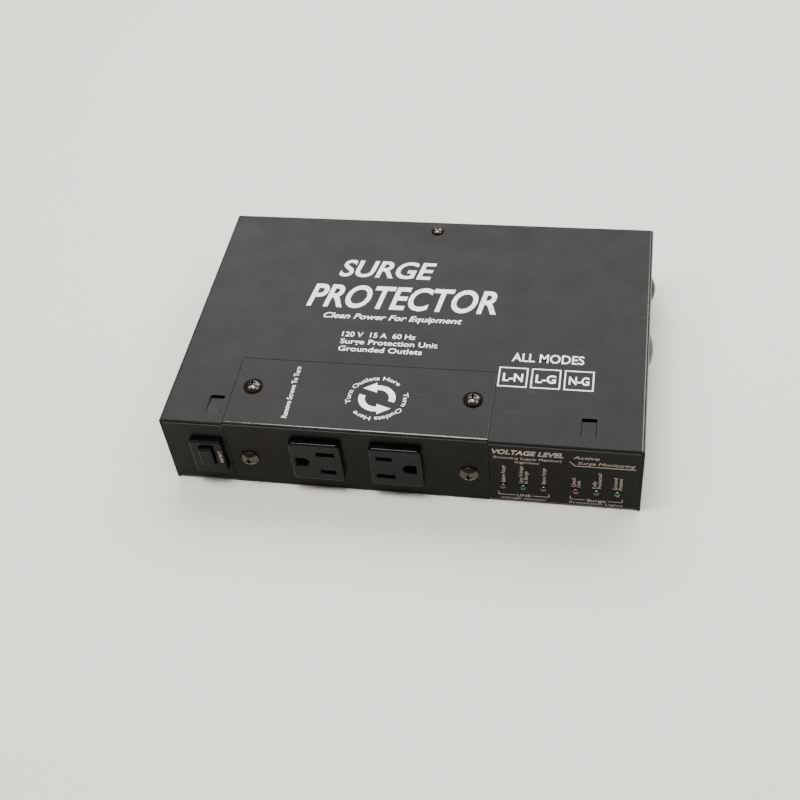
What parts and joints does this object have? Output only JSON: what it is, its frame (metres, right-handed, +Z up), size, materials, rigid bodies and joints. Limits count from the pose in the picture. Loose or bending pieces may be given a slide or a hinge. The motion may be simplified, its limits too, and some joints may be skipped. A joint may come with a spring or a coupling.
{
  "type": "surge protector",
  "caption": "Low folded steel surge protector box with grounded outlets on a turnable corner plate, a push-to-reset breaker, a row of indicator lights and a rear power inlet.",
  "frame": {"origin": "middle of the base's underside", "axes": "+Z up, -Y towards the front with the outlets, +X to the right seen from the front"},
  "size_m": [0.231, 0.1593, 0.0466],
  "materials": {
    "powder_coat": "fine satin black powder coat",
    "zinc_plate": "bright zinc plate",
    "black_oxide_screw": "black oxide, oiled",
    "outlet_nylon": "glossy black moulded nylon",
    "outlet_base_nylon": "plain black moulded nylon",
    "breaker_nylon": "satin black moulded nylon",
    "contact_brass": "rolled brass strip",
    "contact_copper": "copper strip",
    "spring_steel": "drawn spring wire",
    "light_clear": "water-clear epoxy, unlit",
    "light_red": "red tinted epoxy",
    "light_green": "green tinted epoxy",
    "tinned_lead": "tinned copper",
    "circuit_board": "green solder mask on glass fibre",
    "insulating_film": "thin polyester film",
    "disc_coating": "dipped epoxy",
    "film_capacitor": "moulded box",
    "capacitor_sleeve": "shrunk sleeve",
    "core_coating": "coated iron powder",
    "lacquered_wire": "lacquered copper",
    "lamination_steel": "varnished laminations",
    "coil_tape": "polyester tape",
    "chip_epoxy": "moulded epoxy",
    "axial_coating": "dipped coating",
    "relay_plastic": "moulded case",
    "soft_iron": "nickel flashed iron",
    "inlet_nylon": "satin black moulded nylon",
    "inlet_pin": "nickel plated brass",
    "wire_black": "PVC",
    "wire_white": "PVC",
    "wire_green": "PVC",
    "ribbon_grey": "PVC"
  },
  "bodies": {
    "enclosure": {"base_chassis": "powder_coat", "top_cover": "powder_coat", "cover_screw": "black_oxide_screw", "blanking_plugs": "breaker_nylon", "outlet_plate": "powder_coat", "plate_brackets": "powder_coat", "plate_screws": "black_oxide_screw", "press_nuts": "zinc_plate", "outlet_left_face": "outlet_nylon", "outlet_left_base": "outlet_base_nylon", "outlet_left_contacts": "contact_brass", "outlet_right_face": "outlet_nylon", "outlet_right_base": "outlet_base_nylon", "outlet_right_contacts": "contact_brass", "breaker_housing": "breaker_nylon", "breaker_terminals": "contact_brass", "breaker_bimetal": "spring_steel", "reset_spring": "spring_steel", "light_low": "light_clear", "light_normal": "light_green", "light_high": "light_red", "light_check": "light_red", "light_protected": "light_green", "light_ground": "light_green", "light_leads": "tinned_lead", "light_board": "circuit_board", "ribbon_cable": "ribbon_grey", "ribbon_headers": "outlet_base_nylon", "main_board": "circuit_board", "board_standoffs": "zinc_plate", "board_screws": "zinc_plate", "insulating_sheet": "insulating_film", "surge_absorbers": "disc_coating", "thermal_fuses": "tinned_lead", "line_capacitor": "film_capacitor", "filter_capacitors": "capacitor_sleeve", "choke_core": "core_coating", "choke_windings": "lacquered_wire", "transformer_core": "lamination_steel", "transformer_coil": "coil_tape", "control_chips": "chip_epoxy", "axial_parts": "axial_coating", "wire_tabs": "tinned_lead", "relay_base": "relay_plastic", "relay_case": "relay_plastic", "relay_coil": "coil_tape", "relay_yoke": "soft_iron", "inlet_body": "inlet_nylon", "inlet_pins": "inlet_pin", "inlet_screws": "black_oxide_screw", "inlet_nuts": "zinc_plate", "earth_stud": "zinc_plate", "earth_nut": "zinc_plate", "earth_lugs": "tinned_lead", "line_wires": "wire_black", "neutral_wires": "wire_white", "earth_wires": "wire_green"},
    "reset_button": {"breaker_button": "breaker_nylon"},
    "contact_arm": {"breaker_arm": "contact_copper"},
    "relay_flap": {"relay_armature": "soft_iron"}
  },
  "joints": [
    {"name": "reset_press", "type": "slide", "parent": "enclosure", "child": "reset_button", "axis": [0, -1, 0], "range_m": [0, 0.003], "stiffness_N_per_m": 150, "deforming": ["reset_spring"]},
    {"name": "contact_swing", "type": "hinge", "parent": "enclosure", "child": "contact_arm", "pos_m": [-0.0934, -0.0572, 0.0146], "axis": [1, 0, 0], "range_deg": [0, 13]},
    {"name": "relay_release", "type": "hinge", "parent": "enclosure", "child": "relay_flap", "pos_m": [0.0755, 0.0443, 0.0292], "axis": [0, 1, 0], "range_deg": [0, 6], "stiffness_Nm_per_rad": 0.002}
  ],
  "couplings": [
    {"joint": "contact_swing", "follows": "reset_press", "rad_per_m": 72.7}
  ]
}
